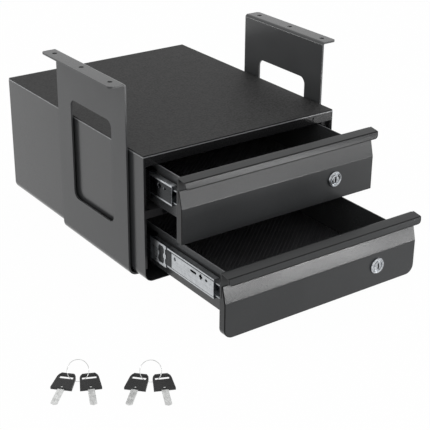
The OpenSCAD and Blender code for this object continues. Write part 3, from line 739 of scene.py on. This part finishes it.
@dataclass(frozen=True)
class BallCages:
    """A drawer's outer ball cages, with waved frames pressed into their front ends.

    Sizes are in millimetres. The frames' outlines are waved by bites in their upright edges.
    """

    drawer: str
    reach: float = 21.5
    strip: float = 0.4
    depth: float = 6.7
    ball_radius: float = 1.5
    post: float = 6.0
    beam: float = 3.0
    arm_stub: float = 2.0
    bite: float = 1.7
    bite_half_height: float = 3.8
    bite_height: float = 6.4
    # The cutters reach this far past what they cut
    spare: float = 1.0

    @property
    def node(self) -> str:
        """The CAD node that the cages stand for."""
        return f"{self.drawer}_outer_cages"

    def build(self, material: Material) -> None:
        """Copies the cages and adds a frame to the front end of each."""
        cages = Workpiece.copy_of(f"{self.drawer}_cage_strips", self.node)
        for side in Side:
            cages.absorb(self.build_frame(side))
        cages.deliver(material, "cage_steel", f"{self.drawer}_outer_ball_cages", self.node)

    def build_frame(self, side: Side) -> Workpiece:
        """Bends a side's frame: a short channel with a window, and waves along its upright edges."""
        low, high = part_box(self.node)
        arm = (high.z - low.z) / 2 / MM - self.ball_radius + self.strip / 2
        inner = arm - self.strip
        section = [
            (0, arm), (self.depth, arm), (self.depth, inner), (self.strip, inner),
            (self.strip, -inner), (self.depth, -inner), (self.depth, -arm), (0, -arm),
        ]

        def place(across: float, along: float, height: float) -> Vector:
            """Returns a place from one measured from the cage's web, its front end and its middle."""
            middle = (low.z + high.z) / 2
            return Vector((side.value * (high.x - across * MM), low.y + along * MM, middle + height * MM))

        frame = Workpiece.traced(
            f"{side.word}_cage_frame", [place(x, -self.reach, z) for x, z in section], closed=True
        )
        frame.pick_all()
        bpy.ops.mesh.edge_face_add()
        frame.extrude(BACK * (self.reach + self.strip) * MM)
        frame.mend_normals()
        near = self.post - self.reach
        far = -self.post
        spare = self.spare
        window = arm - self.beam
        frame.carve(self.span(place(-spare, near, -window), place(spare, far, window)))
        arms_low = place(self.arm_stub, near, -arm - spare)
        frame.carve(self.span(arms_low, place(self.depth + spare, far, arm + spare)))
        for along in (-self.reach, near, far):
            for height in (-self.bite_height, self.bite_height):
                cutter = self.span(
                    place(-spare, along - self.bite, height - self.bite_half_height),
                    place(spare, along + self.bite, height + self.bite_half_height),
                )
                cutter.edit()
                cutter.pick_edges(lambda a, b: abs(a.x - b.x) > MM)
                cutter.bevel(self.bite * 0.95 * MM, FOLD_STEPS)
                frame.carve(cutter)
        frame.rest()
        return frame

    @staticmethod
    def span(corner: Vector, opposite: Vector) -> Workpiece:
        """Starts a cutter between two opposite corners, given in any order."""
        low = Vector([min(pair) for pair in zip(corner, opposite)])
        high = Vector([max(pair) for pair in zip(corner, opposite)])
        return Workpiece.block("cage_cutter", low, high)


# Pieces modelled anew


@dataclass
class Drawer:
    """One drawer: its folded front, pull, box, liner and lock. Sizes are in millimetres."""

    name: str
    corner_radius: float
    half_width: float = 150.0
    end_play: float = 0.5

    sheet: float = 1.0
    face_depth: float = 10.8
    face_height: float = 46.0
    slant_top: float = 67.5
    slant_top_depth: float = 5.3
    painted_fold_shade_radius: float = 1.2
    # Painted shade: a band this wide on the folds round the face takes the dark coat of painted shade
    face_shade_band: float = 1.5

    pull_top: float = 84.5
    pull_rear: float = 3.0
    pull_sheet: float = 1.2
    pull_reach: float = 17.8
    pull_slope: float = 2.0
    bend_radius: float = 0.6
    web_lap: float = 15.5
    lip_height: float = 9.8
    lip_lean: float = 0.9
    lip_radius: float = 5.0
    # Painted shade: a band this wide on the lip's cut edge takes the dark coat of painted shade
    lip_shade_band: float = 1.2

    box_half: float = 127.5
    box_low: float = 12.6
    box_top: float = 69.0
    box_length: float = 346.0
    box_sheet: float = 1.2
    box_flange: float = 13.2
    box_painted_fold_shade: float = 1.4
    pocket_depth: float = 16.0

    rib_pitch: float = 5.2
    rib_height: float = 1.0
    rib_angle: float = 41.0
    rib_share: float = 0.28
    rib_sunk: float = 0.2
    rib_round: float = 0.45
    rib_margin: float = 0.3

    lock_height: float = 29.3
    lock_x: float = 84.5
    lock_face: float = 21.0
    lock_proud: float = 3.0
    lock_rear: float = 7.5
    barrel: float = 16.0
    plug: float = 12.0
    plug_rear: float = 8.0
    tail_half: float = 3.0
    tail_rear: float = 10.0
    keyhole_half_width: float = 1.2
    keyhole_half_height: float = 4.0
    keyhole_depth: float = 9.0

    @property
    def body(self) -> str:
        """The CAD body that carries the drawer."""
        return f"{self.name}_drawer"

    def node(self, part: str) -> str:
        """Returns the name of this drawer's CAD node for a part."""
        return f"{self.name}_{part}"

    def at(self, x: float, y: float, z: float) -> Vector:
        """Returns a place in the frame from one behind the front's rear face and above its lower edge."""
        low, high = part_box(self.node("front_plate"))
        return Vector((x * MM, high.y + y * MM, low.z + z * MM))

    def lock_centre(self) -> Vector:
        """Returns the middle of the lock, on the front's rear face."""
        return self.at(self.lock_x, 0, self.lock_height)

    def build_front(self, material: Material, painted_fold_shade: Material) -> None:
        """Folds the front: an upright face below, a slanted one above, and closed ends.

        Args:
            material: The front's coat.
            painted_fold_shade: The dark coat of painted shade on the folds round its face.
        """
        base = self.at(-self.half_width, -self.face_depth, 0)
        top = self.at(self.half_width, -self.sheet, self.slant_top)
        knee = self.at(0, -self.face_depth, self.face_height)
        work = Workpiece.block(self.node("front_shell"), base, top)
        work.cut(knee, UP)
        work.pick_edges(lambda a, b: min(a.z, b.z) > top.z - NEAR and max(a.y, b.y) < knee.y + NEAR)
        work.move(BACK * (self.face_depth - self.slant_top_depth) * MM)
        work.pick_edges(lambda a, b: max(a.z, b.z) < base.z + NEAR and abs(a.y - b.y) > MM)
        work.bevel(self.corner_radius * MM, CORNER_STEPS)
        work.pick_faces(
            lambda middle, normal: normal.y > FACING or (normal.z > FACING and middle.z > top.z - NEAR)
        )
        work.delete_faces()
        ridge = knee.y + NEAR
        end = (self.half_width - self.end_play) * MM

        def is_fold(a: Vector, b: Vector) -> bool:
            """Tells whether an edge is one of the folds round the face, or the knee."""
            rises = max(a.z, b.z) > knee.z + MM and min(a.y, b.y) < ridge and abs(a.x) > end
            return max(a.y, b.y) < ridge or rises

        work.pick_edges(is_fold)
        work.bevel(self.painted_fold_shade_radius * MM, FOLD_STEPS)
        slant = (self.at(0, -self.slant_top_depth, self.slant_top) - knee).normalized()
        inwards = Vector((0, slant.z, -slant.y))
        rim = self.face_shade_band * MM
        work.cut(knee + BACK * rim, BACK)
        work.cut(knee + inwards * rim, inwards)
        work.mend_normals()
        work.give_wall(self.sheet * MM)
        bore = self.barrel / 2 + 0.1
        work.carve(turned("lock_drill", [(0, -20), (bore, -20), (bore, 3), (0, 3)], self.lock_centre()))
        work.edit()
        work.mend_normals()
        work.soften(0.2 * MM, 2, 60)

        def is_painted_fold_shade(face: Face) -> bool:
            """Tells whether a face takes the painted shade, on the folds below the face and at its ends."""
            behind_face = min(face.center.y - knee.y, (face.center - knee).dot(inwards))
            return behind_face < rim and (face.normal.z < -0.25 or abs(face.normal.x) > 0.25)

        work.deliver(material, "front_coat", self.body, self.node("front_skin"), painted_fold_shade, is_painted_fold_shade)

    def build_pull(self, material: Material, painted_fold_shade: Material) -> None:
        """Folds the pull: a web behind the slant, a flange forward and a lip down.

        Args:
            material: The pull's coat.
            painted_fold_shade: The dark coat of painted shade on its lip's cut edge and on the folded edge
                above it.
        """
        nose = -self.pull_reach
        nose_top = self.pull_top - self.pull_slope
        foot = self.at(-self.half_width, -self.pull_rear, self.slant_top - self.web_lap)
        bend = self.at(-self.half_width, -self.pull_rear, self.pull_top)
        brow = self.at(-self.half_width, nose + self.lip_lean, nose_top)
        lip = self.at(-self.half_width, nose, nose_top - self.lip_height)
        work = Workpiece.traced(self.node("pull_strip"), [foot, bend, brow, lip])
        work.pick_all()
        work.extrude(RIGHT * (2 * self.half_width * MM))
        end = (self.half_width - self.end_play) * MM
        work.pick(
            "VERT", lambda corner: foot.z + MM < corner.co.z < lip.z + NEAR and abs(corner.co.x) > end
        )
        bpy.ops.mesh.bevel(offset=self.lip_radius * MM, segments=CORNER_STEPS, affect="VERTICES")
        web = foot.y
        work.pick_edges(
            lambda a, b: abs(a.x - b.x) > LONG and min(a.z, b.z) > brow.z - MM and min(a.y, b.y) < web
        )
        work.bevel(self.painted_fold_shade_radius * MM, FOLD_STEPS)
        work.pick_edges(
            lambda a, b: abs(a.x - b.x) > LONG and min(a.z, b.z) > bend.z - NEAR and a.y > web - NEAR
        )
        work.bevel(self.bend_radius * MM, 3)
        work.mend_normals()
        self.face_forward(work)
        rim = self.lip_shade_band * MM
        work.cut(lip + UP * rim, UP)
        # The cuts at 45 degrees keep the rim's width round the lip's corners
        from_corner = self.lip_radius - (self.lip_radius - self.lip_shade_band) / math.sqrt(2)
        for side in Side:
            corner = Vector((side.value * (self.half_width - from_corner), 0, from_corner)) * MM
            corner.z += lip.z
            work.cut(RIGHT * side.value * (self.half_width * MM - rim), RIGHT)
            work.cut(corner, Vector((side.value, 0, -1)))
        work.give_wall(self.pull_sheet * MM)
        work.soften(0.55 * MM, 3, 50)

        def is_painted_fold_shade(face: Face) -> bool:
            """Tells whether a face takes the painted shade, on the lip's rim or on the folded edge above
            it.
            """
            ahead = face.normal.y < -0.2 and face.center.y < web - 2 * MM
            return ahead and (0.2 < face.normal.z < 0.93 or self.lip_margin(face.center, lip.z) < rim)

        work.deliver(material, "pull_coat", self.body, self.node("pull"), painted_fold_shade, is_painted_fold_shade)

    def lip_margin(self, place: Vector, lip_low: float) -> float:
        """Returns how far inside the lip's lower corners and edges a place is."""
        radius = self.lip_radius * MM
        from_end = self.half_width * MM - abs(place.x)
        from_low = place.z - lip_low
        if max(from_end, from_low) < radius:
            return radius - math.hypot(radius - from_end, radius - from_low)
        return min(from_end, from_low)

    @staticmethod
    def face_forward(work: Workpiece) -> None:
        """Turns an open strip's faces so that the foremost looks ahead."""
        shape = bmesh.from_edit_mesh(work.piece.data)
        foremost = min(shape.faces, key=lambda face: face.calc_center_median().y)
        if foremost.normal.y > 0:
            work.pick_all()
            bpy.ops.mesh.flip_normals()

    def build_box(self, material: Material, painted_highlight: Material) -> None:
        """Folds the tray, the hood over the lock's pocket and the flanges that meet the front.

        Args:
            material: The box's coat.
            painted_highlight: The brighter coat of its upper edges, a painted highlight.
        """
        half = self.box_half
        wall = self.box_sheet
        pocket = self.pocket_depth - wall
        base = self.at(-half, 0, self.box_low)
        far = self.at(half, self.box_length, self.box_top)
        tray = Workpiece.block(self.node("tray"), self.at(-half, pocket, self.box_low), far)
        tray.pick_faces(lambda middle, normal: normal.z > FACING)
        tray.delete_faces()
        tray.pick_edges(lambda a, b: max(a.z, b.z) < base.z + MM)
        tray.bevel(self.box_painted_fold_shade * MM, 3)
        tray.mend_normals()
        tray.give_wall(wall * MM)
        hood = Workpiece.block(self.node("pocket_hood"), base, self.at(half, pocket, self.box_top))
        hood.pick_faces(lambda middle, normal: normal.z < -FACING or abs(normal.y) > FACING)
        hood.delete_faces()
        for side in Side:
            hood.pick_edges(
                lambda a, b: max(a.y, b.y) < base.y + NEAR and abs(a.z - b.z) > MM and a.x * side.value > 0
            )
            hood.extrude(RIGHT * -side.value * self.box_flange * MM)
        hood.mend_normals()
        hood.give_wall(wall * MM)
        hood.rest()
        tray.absorb(hood)
        tray.soften(0.3 * MM, 2, 50)
        brink = self.at(0, 0, self.box_top - wall / 2).z

        def is_painted_highlight(face: Face) -> bool:
            """Tells whether a face takes the painted highlight on the upper edges."""
            return face.normal.z > 0.3 and face.center.z > brink

        tray.deliver(material, "box_coat", self.body, self.node("drawer_box"), painted_highlight, is_painted_highlight)

    def build_liner(self, material: Material) -> None:
        """Lays the ribbed mat: a thin sheet with ribs set across it at a slant."""
        low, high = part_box(self.node("liner"))
        ground = Vector((high.x, high.y, high.z - self.rib_height * MM))
        sheet = Workpiece.block(self.node("liner_mat"), low, ground)
        sheet.rest()
        middle = (low + high) / 2
        angle = math.radians(self.rib_angle)
        across = Vector((-math.sin(angle), math.cos(angle), 0))
        reach = (high - low).length / 2
        pitch = self.rib_pitch * MM
        half = pitch * self.rib_share
        rib = Workpiece.block(
            "liner_rib",
            Vector((-reach, -half, -self.rib_sunk * MM)),
            Vector((reach, half, self.rib_height * MM)),
        )
        rib.pick_edges(lambda a, b: min(a.z, b.z) > 0 and abs(a.x - b.x) > reach)
        rib.bevel(self.rib_round * MM, 2)
        rib.rest()
        rib.piece.rotation_euler = (0, 0, angle)
        rib.piece.location = Vector((middle.x, middle.y, ground.z)) - across * reach
        bpy.ops.object.transform_apply()
        rib.finish_modifier(
            "ARRAY",
            count=int(2 * reach / pitch),
            use_relative_offset=False,
            use_constant_offset=True,
            constant_offset_displace=across * pitch,
        )
        rib.edit()
        margin = self.rib_margin * MM
        for axis in (RIGHT, BACK):
            rib.cut(low + axis * margin, -axis, trim=True)
            rib.cut(high - axis * margin, axis, trim=True)
        rib.mend_normals()
        sheet.absorb(rib)
        sheet.deliver(material, "liner_mat", self.body, self.node("liner"))

    def build_lock(self, material: Material) -> None:
        """Turns the lock's case and its plug, and cuts the keyhole."""
        centre = self.lock_centre()
        rim = self.lock_face / 2
        front = -self.face_depth - self.lock_proud
        bore = self.plug / 2 + 0.05
        groove = bore + 0.9
        barrel = self.barrel / 2
        case = turned(
            self.node("lock_case"),
            [
                (bore, front + 1.5), (groove, front + 1.5), (groove, front + 0.4),
                (groove + 0.4, front + 0.1), (rim - 2.6, front + 0.1), (rim - 2.1, front + 0.5),
                (rim - 1.7, front), (rim - 0.9, front), (rim, front + 0.9), (rim, -self.face_depth),
                (barrel, -self.face_depth), (barrel, self.lock_rear), (bore, self.lock_rear),
            ],
            centre,
            64,
        )
        case.deliver(material, "lock_chrome", self.body, self.node("lock_body"))
        face = front - 0.3
        radius = self.plug / 2
        rear = self.plug_rear
        plug = turned(
            self.node("lock_core_plug"),
            [(0, face), (radius - 1, face), (radius, face + 0.8), (radius, rear), (0, rear)],
            centre,
            64,
        )

        def rod(name: str, half_width: float, half_height: float, start: float, end: float) -> Workpiece:
            """Starts a square rod along the lock's axis, with its four long edges selected."""
            low = centre + Vector((-half_width, start, -half_height)) * MM
            made = Workpiece.block(name, low, centre + Vector((half_width, end, half_height)) * MM)
            made.pick_edges(lambda a, b: abs(a.y - b.y) > MM)
            return made

        bottom = face + self.keyhole_depth
        keyhole = rod("keyhole", self.keyhole_half_width, self.keyhole_half_height, face - 1, bottom)
        keyhole.bevel(0.7 * MM, FOLD_STEPS)
        plug.carve(keyhole)
        tail = rod("lock_tail", self.tail_half, self.tail_half, rear - 0.1, self.tail_rear)
        tail.bevel(0.3 * MM, 2)
        plug.absorb(tail)
        plug.deliver(material, "lock_chrome", f"{self.name}_lock_core", self.node("lock_plug"))


@dataclass(frozen=True)
class SplitRing:
    """A split ring of spring steel wire, in two turns, that holds two keys. Sizes are in millimetres."""

    name: str
    place: Span
    floor_z: float = -259.5
    turn: float = -35.0
    low_y: float = -8.8
    tilt: float = 58.0
    radius: float = 12.0
    wire: float = 0.75

    def build(self) -> Workpiece:
        """Winds the ring where its keys lie."""
        Workpiece.clear_selection()
        bpy.ops.mesh.primitive_circle_add(
            vertices=10,
            radius=self.wire / 2 * MM,
            fill_type="NOTHING",
            location=(self.radius * MM, 0, -self.wire / 2 * MM),
            rotation=(math.pi / 2, 0, 0),
        )
        work = Workpiece.added(self.name)
        work.finish_modifier(
            "SCREW", axis="Z", angle=4 * math.pi, steps=112, screw_offset=self.wire * MM, iterations=1
        )
        work.edit()
        work.pick("EDGE", lambda edge: edge.is_boundary)
        bpy.ops.mesh.edge_face_add()
        work.mend_normals()
        self.stand_up(work)
        return work

    def stand_up(self, work: Workpiece) -> None:
        """Tilts the flat ring about its low side and carries it to its place."""
        work.rest()
        turn = Euler((0, 0, math.radians(self.turn))).to_matrix()
        tilt = Euler((math.radians(self.tilt), 0, 0)).to_matrix()
        low_side = Vector((0, self.low_y, self.wire)) * MM
        middle = turn @ (low_side + tilt @ Vector((0, self.radius * MM, 0)))
        work.piece.location = Vector((self.place[0], self.place[1], self.floor_z)) * MM + middle
        work.piece.rotation_euler = (turn @ tilt).to_euler()
        bpy.ops.object.transform_apply()


# The studio


@dataclass(frozen=True)
class Studio:
    """Floor, lights and camera. Places are in metres in the unit's frame."""

    floor_z: float = -0.2595
    floor_size: float = 14.0
    camera_place: Place = (-0.8338, -1.2225, 0.4442)
    camera_turn: Place = (math.pi - 2.0072, -0.0089, -0.6169)
    lens: float = 97.19
    world_level: float = 0.6
    # How much of the floor that the camera sees is plain white, so that the rest takes the shadow
    floor_white: float = 0.985

    def build(self) -> None:
        """Sets up the whole studio."""
        bpy.context.scene.view_settings.view_transform = "Standard"
        self.build_camera()
        self.build_floor()
        self.build_world()
        self.build_lights()

    def build_camera(self) -> None:
        """Stands the camera where the photograph was taken from."""
        camera = bpy.data.cameras.new("camera")
        camera.lens = self.lens
        camera.sensor_width = 36.0
        camera.clip_start = 0.05
        stand = bpy.data.objects.new("camera", camera)
        stand.location = self.camera_place
        stand.rotation_euler = self.camera_turn
        bpy.context.scene.collection.objects.link(stand)
        bpy.context.scene.camera = stand

    @staticmethod
    def whiteness(tree: Tree, camera_share: float) -> Node:
        """Adds the share of plain white that a ray meets: all of it in a mirror or through glass.

        Args:
            tree: The node tree of the floor or the room.
            camera_share: The share that the camera meets.

        Returns:
            The node that gives the share.
        """
        rays = add_node(tree, "LightPath").outputs
        mirrored = add_node(
            tree, "Math", {0: rays["Is Glossy Ray"], 1: rays["Is Transmission Ray"]}, operation="MAXIMUM"
        )
        seen = add_node(tree, "Math", {0: rays["Is Camera Ray"], 1: camera_share}, operation="MULTIPLY")
        return add_node(tree, "Math", {0: mirrored, 1: seen}, operation="MAXIMUM")

    def build_floor(self) -> None:
        """Lays a white floor that still takes the unit's shadow."""
        Workpiece.clear_selection()
        bpy.ops.mesh.primitive_plane_add(size=self.floor_size, location=(0, 0, self.floor_z))
        floor = bpy.context.object
        floor.name = "studio_floor"
        material, tree = new_material("studio_paper_white")
        paper = add_node(tree, "BsdfDiffuse", {"Color": linear("#f0f0f0")})
        white = add_node(tree, "Emission", {"Color": linear("#ffffff"), "Strength": 1.0})
        mixed = add_node(tree, "MixShader", {0: self.whiteness(tree, self.floor_white), 1: paper, 2: white})
        add_node(tree, "OutputMaterial", {"Surface": mixed})
        floor.data.materials.append(material)

    def build_world(self) -> None:
        """Fills the room with a soft even light, white where the camera or a mirror sees it."""
        world = bpy.data.worlds.new("studio_room")
        world.use_nodes = True
        tree = world.node_tree
        tree.nodes.clear()
        seen = self.whiteness(tree, 1.0)
        strength = add_node(tree, "MapRange", {"Value": seen, "To Min": self.world_level, "To Max": 1.0})
        light = add_node(tree, "Background", {"Color": linear("#ffffff"), "Strength": strength})
        add_node(tree, "OutputWorld", {"Surface": light})
        bpy.context.scene.world = world

    def build_lights(self) -> None:
        """Hangs the softboxes."""
        self.hang("softbox_top", (0.1, 0.3, 1.4), (0.0, 0.0, -0.2), (1.5, 1.5), 2.2)
        self.hang("low_box_back_left", (-0.95, 1.5, -0.17), (-0.15, 0.0, -0.17), (0.9, 0.14), 5.5)
        self.hang("strip_front_right", (0.75, -1.4, 0.0), (0.0, -0.25, -0.2), (1.6, 0.22), 6.4)
        self.hang("floor_strip_far", (0.45, -1.16, -0.246), (0.0, -0.28, -0.2), (0.5, 0.024), 1.6)
        self.hang("floor_strip_near", (0.33, -0.66, -0.237), (0.0, -0.28, -0.15), (0.48, 0.03), 0.6)

    @staticmethod
    def hang(name: str, place: Place, target: Place, size: Span, power: float) -> None:
        """Hangs one softbox.

        Args:
            name: The light's name.
            place: Where it hangs.
            target: The point that it faces.
            size: Its width and height in metres.
            power: Its power in watts.
        """
        light = bpy.data.lights.new(name, "AREA")
        light.shape = "RECTANGLE"
        light.size, light.size_y = size
        light.energy = power
        stand = bpy.data.objects.new(name, light)
        stand.location = place
        stand.rotation_euler = (Vector(target) - Vector(place)).to_track_quat("-Z", "Y").to_euler()
        stand.visible_camera = False
        bpy.context.scene.collection.objects.link(stand)


# The unit


def dress_fasteners(finishes: Finishes) -> None:
    """Puts their materials on the CAD nodes that stay as they are."""
    materials = {node: finishes.zinc for node in ("hanger_studs", "hanger_nuts", "slide_screws")}
    materials["drawer_bumpers"] = finishes.bumper
    for drawer in DRAWERS:
        materials[f"{drawer}_inner_cages"] = finishes.cage
        for part in ("rail_rivets", "front_rivets", "lock_nut", "lock_cam", "cam_screw"):
            materials[f"{drawer}_{part}"] = finishes.zinc
    for node, material in materials.items():
        for slot in bpy.data.objects[node].material_slots:
            slot.material = material


def build_sheet_metal(finishes: Finishes) -> None:
    """Rounds the edges of the cabinet's sheets, the keys and the fronts' rear plates."""
    SoftenedNode("back_panel", "cabinet", "cabinet_coat", 0.3).build(finishes.cabinet)
    for node in ("mid_rail", "lower_striker", "left_posts", "right_posts"):
        SoftenedNode(node, "cabinet", "inner_coat", 0.3).build(finishes.inner)
    for side in Side:
        SoftenedNode(f"{side.word}_hanger", "cabinet", "hanger_coat", 0.5).build(finishes.hanger)
    SoftenedNode("key_heads", "keys", "black_plastic", 0.6).build(finishes.plastic)
    SoftenedNode("key_blades", "keys", "key_steel", 0.12).build(finishes.key)
    for drawer in DRAWERS:
        SoftenedNode(f"{drawer}_front_plate", f"{drawer}_drawer", "front_coat", 0.25).build(finishes.front)
    # The wrap's and the header's top rims take the painted highlight
    wrap = RimmedNode("cabinet_wrap", "cabinet", "cabinet_coat", 0.45, rim=1.4)
    wrap.build(finishes.cabinet, finishes.painted_highlight)
    header = RimmedNode("front_header", "cabinet", "inner_coat", 0.4, rim=1.4)
    header.build(finishes.lintel_painted_shade, finishes.painted_highlight)
    # The cover's rim takes the painted shade
    cover = RimmedNode("top_cover", "cabinet", "cover_coat", 0.3, rim=1.5)
    cover.build(finishes.cover, finishes.painted_fold_shade)


def build_slides(finishes: Finishes) -> None:
    """Finishes the rails and the outer ball cages of both drawers."""
    # The lower drawer stands further open, and its middle rails take the painted shade only behind their
    # front 89 mm, the upper ones all along
    shade_from_fronts = {"upper": 0.0, "lower": 89.0}
    for drawer in DRAWERS:
        for side in Side:
            rails = f"{drawer}_{side.word}"
            # The outer rails take the painted shade all over
            SlideRail(f"{rails}_outer_rail", "cabinet", "rail_zinc", 0.3).build(finishes.greased)
            SlideRail(f"{rails}_inner_rail", f"{drawer}_drawer", "rail_zinc", 0.3).build(finishes.rail)
            middle = SlideRail(
                f"{rails}_middle_rail", f"{drawer}_middle_rails", "rail_zinc", 0.4, shade_from_fronts[drawer]
            )
            middle.build(finishes.rail, finishes.greased)
        BallCages(drawer).build(finishes.cage)


def build_rings(material: Material) -> None:
    """Winds both key rings, which replace one node."""
    rings = SplitRing("split_rings", (-325, -256.5)).build()
    rings.absorb(SplitRing("second_ring", (-260, -302.5)).build())
    rings.deliver(material, "key_steel", "keys", "key_rings")


def main() -> None:
    """Builds the looks on the frame."""
    logging.basicConfig(level=logging.INFO, format="%(message)s")
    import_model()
    Workpiece.clear_selection()
    drawers = [Drawer("upper", corner_radius=0.6), Drawer("lower", corner_radius=12.0)]
    finishes = Finishes({drawer.name: tuple(drawer.lock_centre()) for drawer in drawers})
    dress_fasteners(finishes)
    build_sheet_metal(finishes)
    build_slides(finishes)
    for drawer in drawers:
        drawer.build_front(finishes.front, finishes.painted_fold_shade)
        drawer.build_pull(finishes.pull, finishes.painted_fold_shade)
        drawer.build_box(finishes.box, finishes.painted_highlight)
        drawer.build_liner(finishes.liner)
        drawer.build_lock(finishes.locks[drawer.name])
    build_rings(finishes.key)
    Studio().build()


if __name__ == "__main__":
    main()
